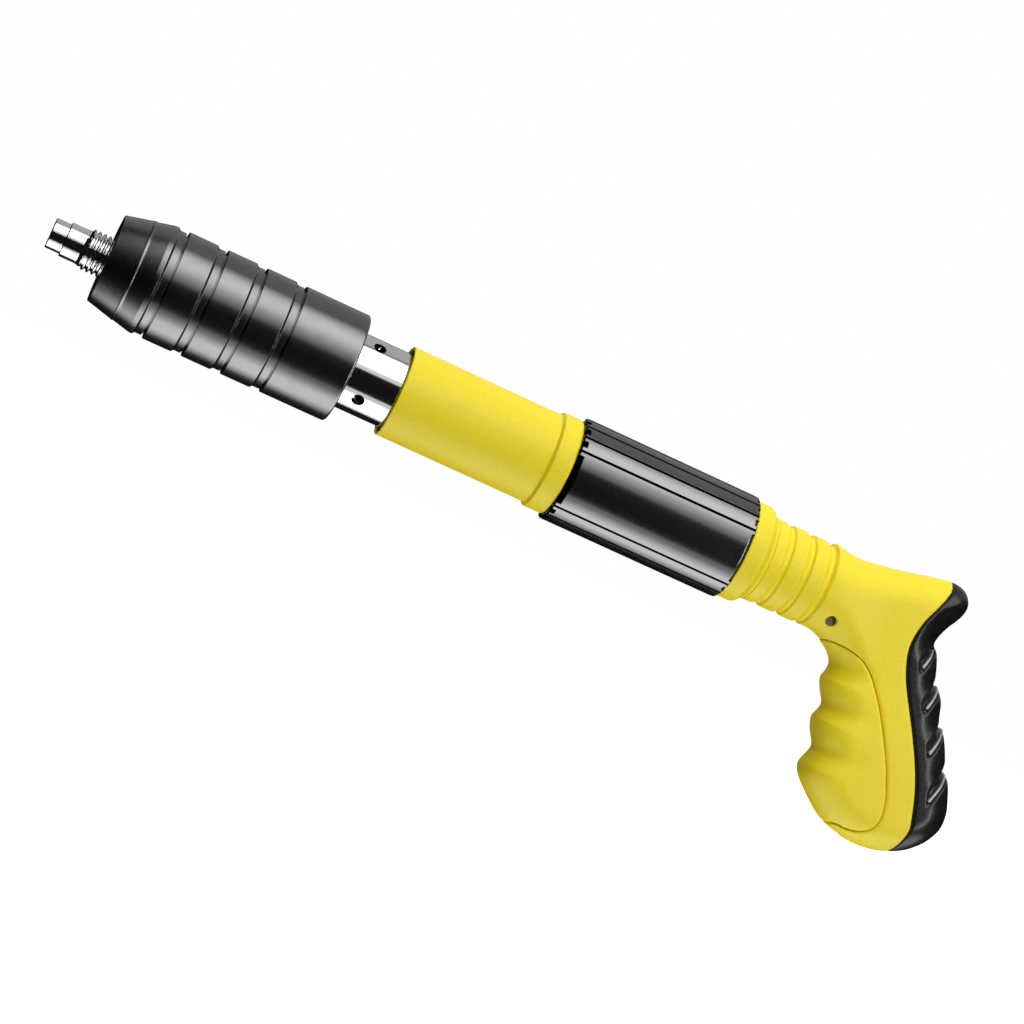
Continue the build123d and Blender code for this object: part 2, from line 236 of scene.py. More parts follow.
def turned_steel(name, color, roughness):
    made = Shader(name, color, roughness, metallic=1.0)
    made.vary_roughness(made.noise(0.8, 3, scale=(5, 0.5, 0.5)), roughness - 0.08, roughness + 0.12)
    made.add_bump(made.noise(0.25, 2, scale=(8, 0.3, 0.3)), 0.006)
    return made.material


def black_rubber():
    """Satin rubber with a fine skin texture."""
    made = Shader("black_rubber", (0.008, 0.008, 0.009), 0.28, specular=0.35)
    made.vary_color(made.noise(5, 3), (0.006, 0.006, 0.007), (0.011, 0.011, 0.012))
    made.vary_roughness(made.noise(0.8, 3), 0.25, 0.32)
    made.add_bump(made.noise(0.4, 2), 0.012)
    return made.material


def seal_rubber():
    made = Shader("seal_rubber", (0.012, 0.012, 0.013), 0.55)
    made.vary_roughness(made.noise(0.6, 2), 0.45, 0.65)
    made.add_bump(made.noise(0.3, 2), 0.01)
    return made.material


def grey_insert():
    made = Shader("grey_insert", (0.36, 0.37, 0.38), 0.35, metallic=0.3)
    made.vary_color(made.noise(2, 3), (0.32, 0.33, 0.34), (0.42, 0.43, 0.44))
    made.vary_roughness(made.noise(0.6, 2), 0.3, 0.42)
    made.add_bump(made.noise(0.3, 2), 0.01)
    return made.material


def make_materials():
    """The material of each slot in the record, by the slot's name."""
    return {
        "yellow_plastic": yellow_plastic(),
        "black_anodised": black_anodised(),
        "black_coupling": black_coupling(),
        "chrome_steel": chrome_steel(),
        "tool_steel": turned_steel("tool_steel", (0.52, 0.53, 0.55), 0.32),
        "pin_steel": turned_steel("pin_steel", (0.16, 0.12, 0.08), 0.45),
        "screw_steel": turned_steel("screw_steel", (0.07, 0.07, 0.075), 0.38),
        "spring_steel": turned_steel("spring_steel", (0.42, 0.43, 0.46), 0.3),
        "bush_brass": turned_steel("bush_brass", (0.75, 0.55, 0.22), 0.28),
        "black_rubber": black_rubber(),
        "seal_rubber": seal_rubber(),
        "grey_insert": grey_insert(),
    }


MATERIALS = make_materials()
NODE_SLOT = {part["node"]: part["material_slot"] for part in frame["record"]["subparts"]}

for node_name, cad_object in frame["nodes"].items():
    cad_object.data.materials.clear()
    cad_object.data.materials.append(MATERIALS[NODE_SLOT[node_name]])


# ----------------------------------------------------------------- mesh tools


def finish_piece(piece, body, nodes):
    """Gives a piece its material and slot, joins it to its body, and lets it stand for its CAD nodes."""
    slot = NODE_SLOT[nodes[0]]
    piece.data.materials.append(MATERIALS[slot])
    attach(piece, body)
    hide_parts(*nodes)
    return piece


def mesh_piece(name, points_mm, faces, sharp_angle=SHARP_ANGLE):
    """A smooth-shaded mesh object, with hard edges where faces meet at more than the sharp angle."""
    mesh = bpy.data.meshes.new(name)
    mesh.from_pydata((np.asarray(points_mm) * MM).tolist(), [], faces)
    mesh.polygons.foreach_set("use_smooth", [True] * len(mesh.polygons))
    mesh.set_sharp_from_angle(angle=sharp_angle)
    mesh.validate()
    piece = bpy.data.objects.new(name, mesh)
    bpy.context.collection.objects.link(piece)
    return piece


def rounded(corners):
    """A closed (x, radius) outline from corners (x, radius, fillet), with each fillet as a short curve."""
    outline = []
    count = len(corners)
    for n, (x, r, fillet) in enumerate(corners):
        here = np.array([x, r], float)
        if not fillet:
            outline.append(here)
            continue
        before = np.array(corners[n - 1][:2], float) - here
        after = np.array(corners[(n + 1) % count][:2], float) - here
        reach = [np.linalg.norm(before), np.linalg.norm(after)]
        before, after = before / reach[0], after / reach[1]
        half = math.acos(np.clip(before @ after, -1, 1)) / 2
        along = min(fillet / math.tan(half), 0.48 * min(reach))
        for t in np.linspace(0, 1, ARC_STEPS + 1):
            start, end = here + before * along, here + after * along
            outline.append((1 - t) ** 2 * start + 2 * t * (1 - t) * here + t**2 * end)
    return held(outline)


def held(outline):
    """Adds a point just inside each end of a long run, so that smooth shading stays in the corners."""
    guard = 0.25
    points = []
    for here, after in zip(outline, outline[1:] + outline[:1]):
        points.append(here)
        length = np.linalg.norm(after - here)
        if length > 5 * guard:
            points += [here + (after - here) * t for t in (guard / length, 1 - guard / length)]
    return points


def skin(name, rows, angles=None):
    """A closed ring of rows (x, radii), each a turn about the bore axis from -Y by way of +Z."""
    if angles is None:
        angles = np.linspace(0, 2 * math.pi, len(rows[0][1]), endpoint=False)
    points = []
    for x, radii in rows:
        points.append(np.stack([x + 0 * angles, -radii * np.cos(angles), radii * np.sin(angles)], 1))
    count, steps = len(rows), len(angles)
    faces = []
    for i in range(count):
        a, b = i * steps, (i + 1) % count * steps
        for j in range(steps):
            k = (j + 1) % steps
            faces.append((a + j, a + k, b + k, b + j))
    return mesh_piece(name, np.concatenate(points), faces)


def lathe(name, corners):
    """A turned mesh from the corners (x, radius, fillet) of its section."""
    return skin(name, [(x, np.full(TURN_STEPS, r)) for x, r in rounded(corners)])


# -------------------------------------------------------------- turned pieces


def make_nose_pipe():
    """The plain tip, the land behind it, and a true helical M16 thread that runs into the muffler."""
    bore, tip, land, crest, root, pitch = 3.65, 5.9, 6.7, 7.95, 6.85, 2.0
    tip_end, thread_start, thread_end, rear = 5.8, 13.2, 26.0, 62.0
    root_flat, flank_width, lead_in_length, step = 0.16, 0.68, 1.2, 0.1
    ring = np.ones(TURN_STEPS)
    turn = np.linspace(0, 1, TURN_STEPS, endpoint=False)
    outline = rounded([(0, bore, 0), (0, tip, 0.5), (tip_end, tip, 0.15), (tip_end, land, 0.4),
                       (thread_start - 0.4, land, 0.3), (thread_start, root - 0.3, 0)])
    rows = [(x, r * ring) for x, r in outline]
    for x in np.arange(thread_start + step, thread_end, step):
        phase = (x / pitch - turn) % 1.0
        flank = np.clip((np.abs(phase - 0.5) * 2 - root_flat) / flank_width, 0, 1)
        lead_in = min(1.0, (x - thread_start) / lead_in_length)
        rows.append((x, root + (crest - root) * flank * lead_in))
    rows += [(thread_end, root * ring), (rear, root * ring), (rear, bore * ring)]
    return finish_piece(skin("nose_pipe_threaded", rows), BARREL, ["nose_pipe"])


def make_muffler():
    """A cone with a fine raised line halfway, then four grooves, each with a narrow slot at its back."""
    outer, groove, slot, cavity, bore = 21.5, 20.6, 19.4, 18.5, 8.0
    front, front_wall, chamber, rear = 22.0, 36.0, 44.0, 119.9
    grooves = (42.2, 57.9, 73.8, 89.8)
    corners = [(front, bore, 0.3), (front, 17.15, 0.5)]
    corners += [(32.5, 19.75, 0.1), (32.8, 19.95, 0.1), (33.2, 19.95, 0.1), (33.6, 19.8, 0.2)]
    corners += [(39.9, outer - 0.18, 1.6), (grooves[0] - 1.3, outer - 0.05, 0.4)]
    for x in grooves:
        corners += [(x - 0.5, outer, 0.25), (x + 0.35, groove, 0.25), (x + 2.9, groove, 0.08)]
        corners += [(x + 2.95, slot, 0), (x + 3.78, slot, 0), (x + 3.83, outer, 0.2)]
    corners += [(rear, outer, 1.2), (rear, cavity, 0.3), (chamber, cavity, 0.5)]
    corners += [(front_wall, cavity - 2, 0.5), (front_wall, bore, 0)]
    return finish_piece(lathe("muffler_shell", corners), BARREL, ["muffler_body"])


def make_front_sleeve():
    """A plain sleeve with a raised band at its rear."""
    mouth, outer, step_start, step_end, band = 139.6, 18.0, 201.3, 202.3, 19.3
    corners = [(mouth, RECEIVER_RADIUS, 0.2), (mouth, outer, 0.9), (step_start, outer, 0.9)]
    corners += [(step_end, band, 0.9), (COUPLING_START, band, 1.3), (COUPLING_START, RECEIVER_RADIUS, 0)]
    return finish_piece(lathe("sleeve_shell", corners), HOUSING, ["front_sleeve"])


def make_neck_collar():
    """A ring whose rear comes down to the neck in a soft S."""
    outer = 19.8
    corners = [(COUPLING_END, SPIGOT_RADIUS, 0), (COUPLING_END, outer, 0.5), (291.8, outer, 2.4)]
    corners += [(294.0, 17.4, 1.2), (NECK_START, NECK_RADIUS, 0.8), (NECK_START, SPIGOT_RADIUS, 0)]
    return finish_piece(lathe("collar_shell", corners), HOUSING, ["neck_collar"])


def make_neck_sleeve():
    """Soft ribs: each groove falls away gently from the front and comes back up in a steeper step."""
    groove = 15.75
    corners = [(NECK_START, SPIGOT_RADIUS, 0), (NECK_START, NECK_RADIUS, 0.1)]
    for x in (301.4, 310.4, 319.2):
        corners += [(x - 1.9, NECK_RADIUS, 1.6), (x - 0.1, groove, 0.7)]
        corners += [(x + 1.0, groove + 0.1, 0.5), (x + 1.5, NECK_RADIUS, 0.8)]
    corners += [(NECK_END, NECK_RADIUS - 0.4, 0.2), (NECK_END, SPIGOT_RADIUS, 0)]
    return finish_piece(lathe("neck_ribs", corners), HOUSING, ["neck_sleeve"])


def make_coupling_grip():
    """Three broad panels with three narrow ribs between each pair. At the ends each panel and rib is cut
    back between two tabs, which stand beside the grooves."""
    start, end, outer, floor, bore = COUPLING_START, COUPLING_END, COUPLING_RADIUS, 18.8, RECEIVER_RADIUS
    groove_half, tab, edge = math.radians(1.5), math.radians(4.9), math.radians(0.04)
    panel_middle, panel_half, rib = math.radians(10.15), math.radians(33.65), math.radians(17.57)
    panels, facets = 3, 300
    lines = []
    for panel in range(panels):
        first = -panel_middle - 2 * math.pi / panels * panel - panel_half
        lines += [first - rib * line for line in range(4)]
    angles = list(np.linspace(0, 2 * math.pi, facets, endpoint=False))
    for line in lines:
        for side in (-1, 1):
            angles += [line + side * (at + step) for at in (groove_half, tab) for step in (-edge, edge)]
    angles = np.sort(np.mod(angles, 2 * math.pi))
    away = np.min([np.abs((angles - line + math.pi) % (2 * math.pi) - math.pi) for line in lines], axis=0)

    def row(x, in_groove, on_tab, between):
        return x, np.where(away < groove_half, in_groove, np.where(away < tab, on_tab, between))

    rows = [
        row(start, bore, bore, bore),
        row(start, floor - 0.3, outer - 0.6, floor - 0.2),
        row(start + 0.5, floor, outer, floor + 0.3),
        row(start + 2.1, floor, outer, outer - 0.15),
    ]
    rows += [row(x, floor, outer, outer) for x in (start + 2.3, start + 2.6, end - 1.8, end - 1.5)]
    rows += [
        row(end - 1.2, floor, outer, outer - 0.2),
        row(end - 0.5, floor, outer, outer - 1.0),
        row(end, floor - 0.3, outer - 0.5, outer - 1.5),
        row(end, bore, bore, bore),
    ]
    return finish_piece(skin("coupling_shell", rows, angles), HOUSING, ["coupling_grip"])


# -------------------------------------------------------------------- springs


def make_spring(node, wire, turns, body):
    """A coil in place of a spring's CAD node, between the same seats."""
    low, high = (np.array(corner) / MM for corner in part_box(node))
    radius, length = (high[2] - low[2] - wire) / 2, high[0] - low[0]
    wire_facets, steps_per_turn = 12, 40
    around = np.linspace(0, 2 * math.pi, wire_facets, endpoint=False)
    along = np.linspace(0, 1, int(steps_per_turn * turns))
    turn = 2 * math.pi * turns * along
    x = low[0] + wire / 2 + (length - wire) * along
    middle = np.stack([x, -radius * np.cos(turn), radius * np.sin(turn)], 1)[:, None, :]
    outward = np.stack([0 * x, -np.cos(turn), np.sin(turn)], 1)[:, None, :]
    points = middle + wire / 2 * (np.cos(around)[None, :, None] * outward)
    points = points + wire / 2 * np.sin(around)[None, :, None] * np.array([1.0, 0, 0])
    count, ring = len(along), wire_facets
    faces = [tuple(reversed(range(ring))), tuple(range((count - 1) * ring, count * ring))]
    for a in range(0, (count - 1) * ring, ring):
        for j in range(ring):
            k = (j + 1) % ring
            faces.append((a + j, a + k, a + ring + k, a + ring + j))
    coil = finish_piece(mesh_piece(f"{node}_coil", points.reshape(-1, 3), faces), body, [node])
    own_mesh(coil)


def make_springs():
    make_spring("return_spring", 2.4, 8.5, HOUSING)
    make_spring("main_spring", 1.4, 18, HOUSING)
    make_spring("firing_pin_spring", 0.6, 3, BARREL)


# --------------------------------------------------------------------- handle

# The handle's side outline, (x, z), from the top of the neck round the tail, the back, the foot and the
# finger valleys. The neck's cut at X = 321 is made by a plane, so the outline runs on in front of it.
OUTLINE = [
    (305, 16.3), (331.6, 16.1), (343.3, 17.5), (351.7, 19.0), (360.1, 20.9), (366.8, 22.3), (372.3, 22.8),
    (377.0, 21.3), (379.8, 17.6), (379.9, 13.6), (378.4, 9.8), (376.2, 6.0), (374.4, 1.9), (373.6, -2.2),
    (376.0, -4.6), (378.6, -9.0), (380.6, -14.3), (383.4, -17.3), (386.4, -21.4), (388.6, -28.0),
    (391.4, -30.8), (394.6, -35.8), (397.4, -41.6), (398.9, -45.6), (401.8, -48.6), (404.6, -54.5),
    (406.7, -60.4), (406.9, -67.0), (404.2, -73.3), (399.7, -78.2), (393.3, -82.3), (384.8, -85.2),
    (375.0, -85.8), (366.3, -84.0), (360.0, -81.2), (352.9, -75.9), (347.0, -70.4), (344.9, -66.0),
    (345.9, -61.2), (346.5, -57.3), (344.0, -52.6), (341.9, -47.4), (342.7, -43.8), (343.0, -40.8),
    (340.4, -36.4), (338.2, -31.9), (338.9, -28.6), (338.8, -25.4), (336.2, -22.0), (332.4, -19.6),
    (328.0, -17.4), (321.6, -16.6), (305, -16.3),
]
# Seams in the side view, with straight closing corners outside the handle.
PAD_SEAM = [
    (330.2, -22.0), (330.8, -19.2), (333.0, -17.8), (337.0, -17.7), (341.5, -18.2), (347.0, -20.0),
    (352.0, -23.7), (356.0, -28.4), (361.0, -35.0), (366.0, -42.9), (371.2, -51.7), (375.0, -59.6),
    (377.6, -66.0), (378.7, -72.0), (377.4, -77.2), (373.5, -80.4), (369.0, -81.4), (365.6, -81.3),
    (363.4, -82.1), (362.2, -84.5),
]
PAD_CORNERS = [(345, -95), (310, -70), (315, -25)]
STRAP_SEAM = [
    (371.4, 28), (369.6, 19), (366.0, 11.5), (362.8, 4.2), (361.3, -3), (361.6, -9.5), (364.2, -16.8),
    (368.2, -24.2), (377.4, -39), (385.2, -53.6), (389.8, -66), (391.4, -74.5), (389.6, -90),
]
STRAP_CORNERS = [(420, -95), (420, 28)]
SEAM_GAP, SEAM_ROUND, COVER_DEPTH = 0.12, 0.95, 4.4  # the last is how deep the pad and strap are let in
PARTING_GAP = 0.04  # from the middle plane to each shell

# Half thicknesses of the handle, and how much they swell or thin in places.
NECK_HALF, GRIP_HALF, EDGE_ROUND = 16.3, 13.6, 12.6
PALM_SWELL, FOOT_THINNING, TAIL_THINNING, CROWN = 1.9, 1.2, 3.2, 0.5
# Middles of the finger valleys, which run in from the front edge of the pad.
VALLEYS = [(341.5, -27.5), (345.0, -42.5), (349.0, -58.5)]
VALLEY_DEPTH, VALLEY_LENGTH, VALLEY_WIDTH, VALLEY_LEAN = 1.7, 11, 4.4, 0.25

# Grey bars in the strap's pockets: the lower end (x, z) of each in the side view, the length that shows,
# and how much further it runs round the back.
BARS = [((370.0, -12.1), 6.5, 2), ((378.0, -26.0), 7.4, 6),
        ((386.2, -41.5), 8.6, 7), ((393.6, -58.4), 10.0, 7)]
BAR_SLOPE = math.radians(67)
BAR_HALF, BAR_TAPER, BAR_DEPTH = 0.8, 0.35, 2.3
POCKET_WIDTH, POCKET_DEPTH, RIM_WIDTH = 3.9, 1.2, 4.8
THUMB_HOLLOW = 0.7  # how far the middle of the strap's side dips

# A short second seam line at the foot, under the pad.
FOOT_LINE = [(358.0, -82.6), (363.0, -84.1), (368.5, -84.6), (374.0, -84.2), (379.0, -82.4)]
SPIGOT_END = 338.0
PIN_X, PIN_Z, PIN_HOLE = 328.5, -10.6, 2.05
SCREWS = [(341, 9), (359, 12), (357, -14), (374, -46), (384, -68)]
SCREW_RECESS, SCREW_SEAT = 3.05, 9.0  # radius of the recess, and y of its floor


def curve_through(points, closed):
    """A smooth Catmull-Rom curve through points, as an array."""
    steps = 6
    pts = np.array(points, float)
    if closed:
        padded = np.concatenate([pts[-1:], pts, pts[:2]])
    else:
        padded = np.concatenate([2 * pts[:1] - pts[1:2], pts, 2 * pts[-1:] - pts[-2:-1]])
    t = np.linspace(0, 1, steps, endpoint=False)[:, None]
    runs = []
    for a, b, c, d in zip(padded, padded[1:], padded[2:], padded[3:]):
        square, cube = 2 * a - 5 * b + 4 * c - d, 3 * b - a - 3 * c + d
        runs.append(0.5 * (2 * b + (c - a) * t + square * t**2 + cube * t**3))
    return np.concatenate(runs + ([] if closed else [pts[-1:]]))


def signed_distance(px, pz, loop):
    """Distance to a closed loop in the side view, negative inside it."""
    best = np.full(px.shape, 1e9)
    inside = np.zeros(px.shape, bool)
    for (ax, az), (bx, bz) in zip(loop, np.roll(loop, -1, 0)):
        dx, dz = bx - ax, bz - az
        length = dx * dx + dz * dz
        if length < 1e-12:
            continue
        t = np.clip(((px - ax) * dx + (pz - az) * dz) / length, 0, 1)
        best = np.minimum(best, (px - ax - t * dx) ** 2 + (pz - az - t * dz) ** 2)
        if az != bz:
            crosses = (az > pz) != (bz > pz)
            inside ^= crosses & (px < dx * (pz - az) / dz + ax)
    return np.sqrt(best) * np.where(inside, -1, 1)


def smooth_max(a, b, round_mm):
    """The larger of two fields, with the edge where they meet rounded."""
    h = np.clip(0.5 + 0.5 * (a - b) / round_mm, 0, 1)
    return b + (a - b) * h + round_mm * h * (1 - h)


def ease(value, start, end):
    """Runs smoothly from 0 at start to 1 at end."""
    t = np.clip((value - start) / (end - start), 0, 1)
    return t * t * (3 - 2 * t)


class HandleField:
    """Distance fields of the handle's pieces over a box of cells."""

    def __init__(self, low, high, cell):
        self.low, self.cell = np.array(low, float), cell
        counts = [int(math.ceil((h - l) / cell)) + 1 for l, h in zip(low, high)]
        x, y, z = (l + cell * np.arange(n) for l, n in zip(low, counts))
        self.x, self.y, self.z = x[:, None, None], y[None, :, None], z[None, None, :]
        px, pz = (g.copy() for g in np.meshgrid(x, z, indexing="ij"))
        self.px, self.pz = px, pz
        self.side = signed_distance(px, pz, curve_through(OUTLINE, closed=True))
        self.pad = self.behind_seam(PAD_SEAM, PAD_CORNERS)
        self.strap = self.behind_seam(STRAP_SEAM, STRAP_CORNERS)
        self.outer = self.outer_field()

    def behind_seam(self, seam, corners):
        """Distance in the side view to the area that a seam cuts off, negative inside it."""
        loop = np.concatenate([curve_through(seam, closed=False), np.array(corners, float)])
        return signed_distance(self.px, self.pz, loop)[:, None, :]

    def outer_field(self):
        """The side outline given thickness, with edges so round that the neck is a full circle."""
        px, pz = self.px, self.pz
        neck = 1 - ease(px, NECK_END + 2, 350)
        edge = EDGE_ROUND + (NECK_HALF - EDGE_ROUND) * neck
        grip = GRIP_HALF + PALM_SWELL * ease(-pz, 15, 55) - FOOT_THINNING * ease(-pz, 70, 86)
        tail = TAIL_THINNING * ease(px, 360, 380) * ease(pz, -8, 6)
        half = grip + (NECK_HALF - grip) * neck - tail + CROWN * ease(-self.side, 2, 12)
        for x, z in VALLEYS:
            along = (px - x) + VALLEY_LEAN * (pz - z)
            across = (pz - z) - VALLEY_LEAN * (px - x)
            spread = (along / VALLEY_LENGTH) ** 2 + (across / VALLEY_WIDTH) ** 2
            half = half - VALLEY_DEPTH * np.exp(-spread)
        edge = np.minimum(edge, half)
        a = self.side + edge
        a, half, edge = a[:, None, :], half[:, None, :], edge[:, None, :]
        b = np.abs(self.y) - (half - edge)
        return np.hypot(np.maximum(a, 0), np.maximum(b, 0)) + np.minimum(np.maximum(a, b), 0) - edge

    def spigot(self):
        """Inside of the steel plug's spigot, which the shells clamp."""
        return np.maximum(np.hypot(self.y, self.z) - SPIGOT_RADIUS, self.x - SPIGOT_END)

    def bars(self):
        """Distances in the side view to the nearest grey bar and to the pocket that it lies in."""
        ux, uz = math.cos(BAR_SLOPE), math.sin(BAR_SLOPE)
        far = 1e3
        bar, pocket = np.full(self.px.shape, far), np.full(self.px.shape, far)
        rim = self.strap[:, 0, :] + RIM_WIDTH
        for (ax, az), length, further in BARS:
            along = (self.px - ax) * ux + (self.pz - az) * uz
            across = -(self.px - ax) * uz + (self.pz - az) * ux
            reach = np.clip(along, 0, length + further)
            half = BAR_HALF - BAR_TAPER * np.clip(along / length, 0, 1)
            bar = np.minimum(bar, np.hypot(along - reach, across) - half)
            window = smooth_max(-BAR_HALF - 0.5 - across, across - POCKET_WIDTH, 0.8)
            window = smooth_max(window, smooth_max(rim, -3.0 - along, 1.0), 1.2)
            pocket = np.minimum(pocket, smooth_max(window, along - length - further - 0.5, 0.8))
        return bar[:, None, :], pocket[:, None, :]

    def shell(self, side):
        """One half of the handle, which leaves room for the strap, the pad, the spigot and the cross pin."""
        cover = np.maximum(np.minimum(self.pad, self.strap), -(self.outer + COVER_DEPTH))
        body = smooth_max(self.outer, -(cover - SEAM_GAP), SEAM_ROUND)
        body = smooth_max(body, -side * self.y + PARTING_GAP, 0.25)
        body = np.maximum(body, NECK_END + 0.05 - self.x)
        pin_hole = np.hypot(self.x - PIN_X, self.z - PIN_Z) - PIN_HOLE
        body = smooth_max(body, -pin_hole, 0.5)
        if side > 0:
            for x, z in SCREWS:
                recess = np.maximum(np.hypot(self.x - x, self.z - z) - SCREW_RECESS, SCREW_SEAT - self.y)
                body = smooth_max(body, -recess, 0.4)
        foot = curve_through(FOOT_LINE, closed=False)
        foot_gap = np.min([np.hypot(self.px - x, self.pz - z) for x, z in foot], axis=0)[:, None, :]
        body = smooth_max(body, -np.maximum(foot_gap - 0.3, -(self.outer + 0.5)), 0.25)
        return np.maximum(body, -self.spigot())

    def finger_pad(self):
        """The panel under the fingers, which wraps round the front of the grip."""
        edge = smooth_max(self.outer, self.pad + SEAM_GAP, SEAM_ROUND)
        return np.maximum(edge, -(self.outer + COVER_DEPTH - SEAM_GAP))

    def back_strap(self):
        """The strap and the tail's cap, with a pocket above each bar and a slot that the bar lies in."""
        bar, pocket = self.bars()
        sunk = POCKET_DEPTH * (1 - ease(pocket, -0.8, 0.1))
        hollow = ease(-self.strap, 4.0, 8.5) * ease(-self.z, 2, 10) * ease(self.z, -84, -70)
        sunk = sunk + THUMB_HOLLOW * hollow * ease(17 - np.abs(self.y) * 1.6, -6, 6)
        outline = np.maximum(self.strap + SEAM_GAP, -(self.pad - SEAM_GAP))
        body = smooth_max(self.outer + sunk, outline, 0.8)
        body = np.maximum(body, -(self.outer + COVER_DEPTH - SEAM_GAP))
        slot = np.maximum(bar - 0.08, -(self.outer + BAR_DEPTH + 0.1))
        return np.maximum(body, -slot)

    def strap_bars(self, side):
        """The grey bars of one side, just below the strap's rim."""
        bar, _ = self.bars()
        body = smooth_max(bar, self.outer + 0.45, 0.6)
        body = np.maximum(body, -(self.outer + BAR_DEPTH))
        body = np.maximum(body, self.strap + RIM_WIDTH)
        return np.maximum(body, 0.02 - side * self.y)


def surface(field, low, cell):
    """Points and quads where a field on a grid crosses zero, with one point in each crossed cell."""
    shape = np.array(field.shape) - 1
    total = np.zeros((*shape, 3), np.float32)
    count = np.zeros(shape, np.float32)
    crossings = []
    for axis in range(3):
        first, second = [slice(None)] * 3, [slice(None)] * 3
        first[axis], second[axis] = slice(0, -1), slice(1, None)
        f0, f1 = field[tuple(first)], field[tuple(second)]
        where = np.argwhere((f0 < 0) != (f1 < 0))
        v0, v1 = f0[tuple(where.T)], f1[tuple(where.T)]
        spot = where.astype(np.float32)
        spot[:, axis] += v0 / (v0 - v1)
        others = [n for n in range(3) if n != axis]
        around = []
        for du in (-1, 0):
            for dv in (-1, 0):
                cells = where.copy()
                cells[:, others[0]] += du
                cells[:, others[1]] += dv
                good = ((cells >= 0) & (cells < shape)).all(1)
                np.add.at(total, tuple(cells[good].T), spot[good])
                np.add.at(count, tuple(cells[good].T), 1)
                around.append((cells, good))
        crossings.append((v0 < 0, around, axis))
    used = count > 0
    index = np.full(shape, -1, np.int64)
    index[used] = np.arange(used.sum())
    points = low + cell * total[used] / count[used][:, None]
    quads = []
    for starts_inside, around, axis in crossings:
        good = np.all([g for _, g in around], axis=0)
        corner = [index[tuple(cells[good].T)] for cells, _ in around]
        ring = np.stack([corner[0], corner[1], corner[3], corner[2]], 1)
        flip = starts_inside[good] ^ (axis == 1)
        ring[flip] = ring[flip][:, ::-1]
        quads.append(ring)
    return points, np.concatenate(quads)


def relaxed(points, quads):
    """Evens out the small steps that the grid leaves, by moving each point towards its neighbours."""
    rounds, amount = 2, 0.5
    edges = np.concatenate([quads[:, [0, 1]], quads[:, [1, 2]], quads[:, [2, 3]], quads[:, [3, 0]]])
    for _ in range(rounds):
        total = np.zeros_like(points)
        count = np.zeros(len(points))
        for a, b in ((0, 1), (1, 0)):
            np.add.at(total, edges[:, a], points[edges[:, b]])
            np.add.at(count, edges[:, a], 1)
        points = points + amount * (total / count[:, None] - points)
    return points


def handle_piece(name, field, grid, node):
    points, quads = surface(field.astype(np.float32), grid.low, grid.cell)
    points = relaxed(points.astype(np.float64), quads)
    piece = mesh_piece(name, points, quads.tolist(), sharp_angle=math.radians(60))
    return finish_piece(piece, HOUSING, [node])


def make_handle():
    """The two shells on a coarser grid, and the pad, the strap and its bars on a finer one."""
    coarse, fine = ((0.55, 0.42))
    grid = HandleField((320, -17.6, -87), (408, 17.6, 24), coarse)
    handle_piece("handle_shell_left", grid.shell(-1), grid, "handle_left")
    handle_piece("handle_shell_right", grid.shell(1), grid, "handle_right")
    pad = HandleField((324, -17, -84.6), (380.5, 17, -15.5), fine)
    handle_piece("finger_pad_skin", pad.finger_pad(), pad, "finger_pad")
    strap = HandleField((359, -17, -86), (408, 17, 24), fine)
    handle_piece("strap_skin", strap.back_strap(), strap, "back_strap")
    handle_piece("strap_bars_left", strap.strap_bars(-1), strap, "strap_inserts_left")
    handle_piece("strap_bars_right", strap.strap_bars(1), strap, "strap_inserts_right")


# ----------------------------------------------------------------- the studio


def make_floor():
    """A plain white floor just under the tool, which the tool's own surfaces don't reflect."""
    half, low = 6.0, CAD_BOX[0][2] - 0.0005
    mesh = bpy.data.meshes.new("floor")
    corners = [(-half, -half, low), (half, -half, low), (half, half, low), (-half, half, low)]
    mesh.from_pydata(corners, [], [(0, 1, 2, 3)])
    floor = bpy.data.objects.new("floor", mesh)
    bpy.context.collection.objects.link(floor)
    paint = Shader("floor_paint", (0.9, 0.9, 0.9), 0.8, specular=0.1)
    paint.bsdf.inputs["Emission Color"].default_value = (1, 1, 1, 1)
    paint.bsdf.inputs["Emission Strength"].default_value = 1.0
    mesh.materials.append(paint.material)
    floor.visible_glossy = floor.visible_diffuse = floor.visible_shadow = False


# Strip lights beside the tool: (lowest, highest, radiance), with the elevations seen from the bore, where
# 0 is towards the camera and 90 is straight up. Nested strips make a softbox that fades at its edges.
REFLECTED = [
    (15, 88, 0.7), (26, 83, 0.7), (37, 76, 0.9), (46, 68, 0.6),
    (-121, -47, 0.65), (-113, -60, 1.0), (-104, -70, 1.15),
    (92, 158, 0.42),
]
SOFT_SHADING = [(18, 86, 2.1), (-124, -46, 1.5), (96, 168, 1.6), (-24, 12, 0.6), (174, 204, 1.0)]


def area_light(name, size_x, size_y, radiance, place):
    """A rectangular light, in metres, that the camera doesn't see."""
    data = bpy.data.lights.new(name, "AREA")
    data.shape, data.size, data.size_y = "RECTANGLE", size_x, size_y
    data.energy = radiance * math.pi * size_x * size_y
    light = bpy.data.objects.new(name, data)
    light.location = place
    light.visible_camera = False
    bpy.context.collection.objects.link(light)
    return light


def strip_light(name, low, high, radiance, glossy):
    """A long light that fills the elevations from low to high, for reflections only or for shading only."""
    middle, half = math.radians((low + high) / 2), math.radians((high - low) / 2)
    distance = 0.8
    centre, length = (0.6, 1.62) if glossy else (0.45, 1.3)
    place = Vector((centre, 0, -0.01)) + distance * Vector((0, -math.cos(middle), math.sin(middle)))
    light = area_light(name, length, 2 * distance * math.tan(half), radiance, place)
    light.rotation_euler = (math.pi / 2 - middle, 0, 0)
    light.visible_glossy, light.visible_diffuse = glossy, not glossy


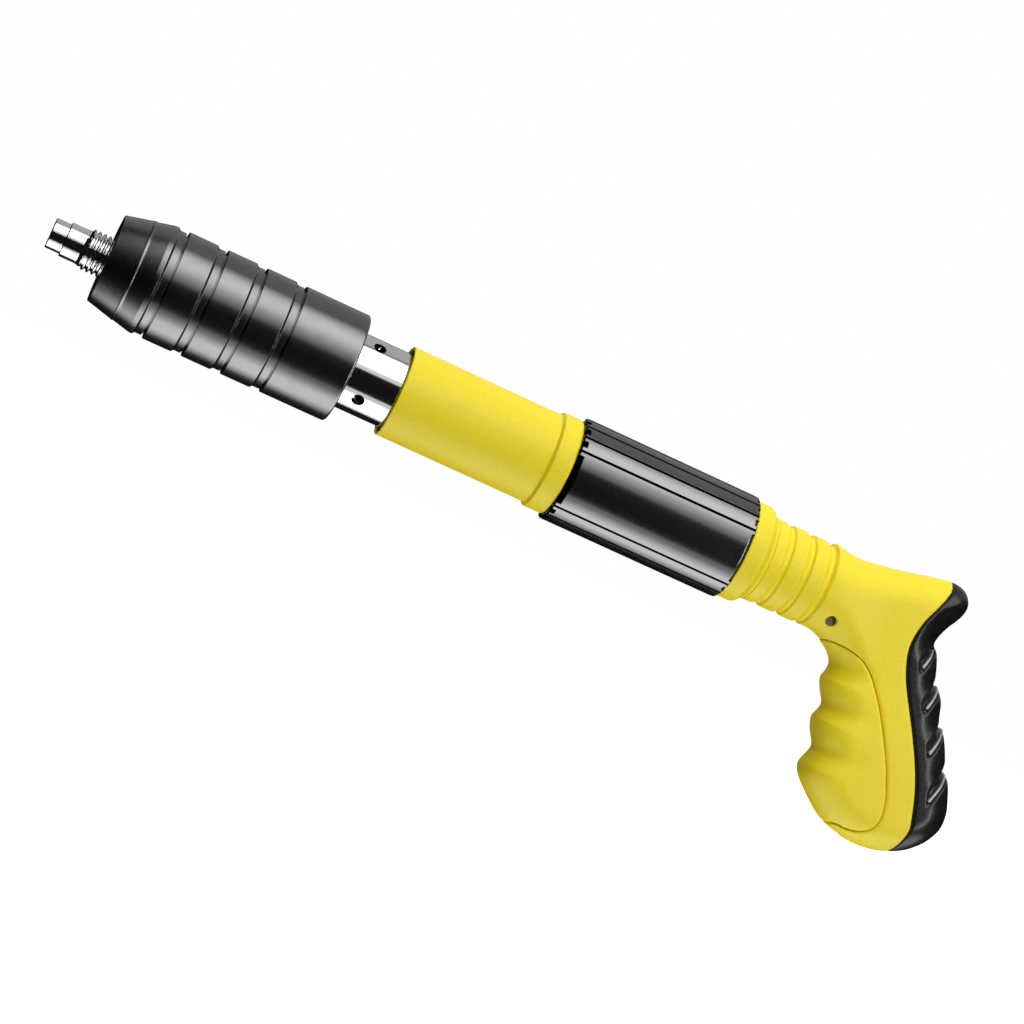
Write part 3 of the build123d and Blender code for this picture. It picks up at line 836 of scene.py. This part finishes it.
def side_strip():
    """An upright light beyond the handle, which makes the long soft highlight on the back strap."""
    place, handle = Vector((0.98, -0.82, -0.05)), Vector((0.38, 0, -0.04))
    light = area_light("side_strip", 0.2, 1.0, 7.5, place)
    light.rotation_euler = (handle - place).to_track_quat("-Z", "Y").to_euler()
    light.visible_diffuse = False


def make_lights():
    """Softboxes above, below and behind the tool, with the dark of the room between them."""
    for n, strip in enumerate(REFLECTED):
        strip_light(f"reflected_{n}", *strip, glossy=True)
    for n, strip in enumerate(SOFT_SHADING):
        strip_light(f"shading_{n}", *strip, glossy=False)
    side_strip()


def make_world():
    """White where the camera looks past the tool, and almost dark for the light that falls on it."""
    world = bpy.data.worlds.new("studio")
    world.use_nodes = True
    nodes, links = world.node_tree.nodes, world.node_tree.links
    path, blend = nodes.new("ShaderNodeLightPath"), nodes.new("ShaderNodeMapRange")
    blend.inputs["To Min"].default_value, blend.inputs["To Max"].default_value = 0.006, 1.0
    links.new(path.outputs["Is Camera Ray"], blend.inputs["Value"])
    links.new(blend.outputs["Result"], nodes["Background"].inputs["Strength"])
    nodes["Background"].inputs["Color"].default_value = (1, 1, 1, 1)
    bpy.context.scene.world = world


def make_camera():
    """The left side from slightly in front, rolled so that the barrel slopes down to the right."""
    aim, distance = Vector((0.1997, 0, -0.0233)), 1.10
    turn, roll = math.radians(11), math.radians(24.45)
    data = bpy.data.cameras.new("camera")
    data.lens, data.sensor_width = 102, 36
    camera = bpy.data.objects.new("camera", data)
    place = aim + distance * Vector((-math.sin(turn), -math.cos(turn), 0))
    look = (aim - place).to_track_quat("-Z", "Y").to_matrix().to_4x4()
    camera.matrix_world = Matrix.Translation(place) @ look @ Matrix.Rotation(roll, 4, "Z")
    bpy.context.collection.objects.link(camera)
    bpy.context.scene.camera = camera


make_nose_pipe()
make_muffler()
make_front_sleeve()
make_neck_collar()
make_neck_sleeve()
make_coupling_grip()
make_springs()
make_handle()
make_floor()
make_lights()
make_world()
make_camera()
bpy.context.scene.view_settings.view_transform = "Standard"
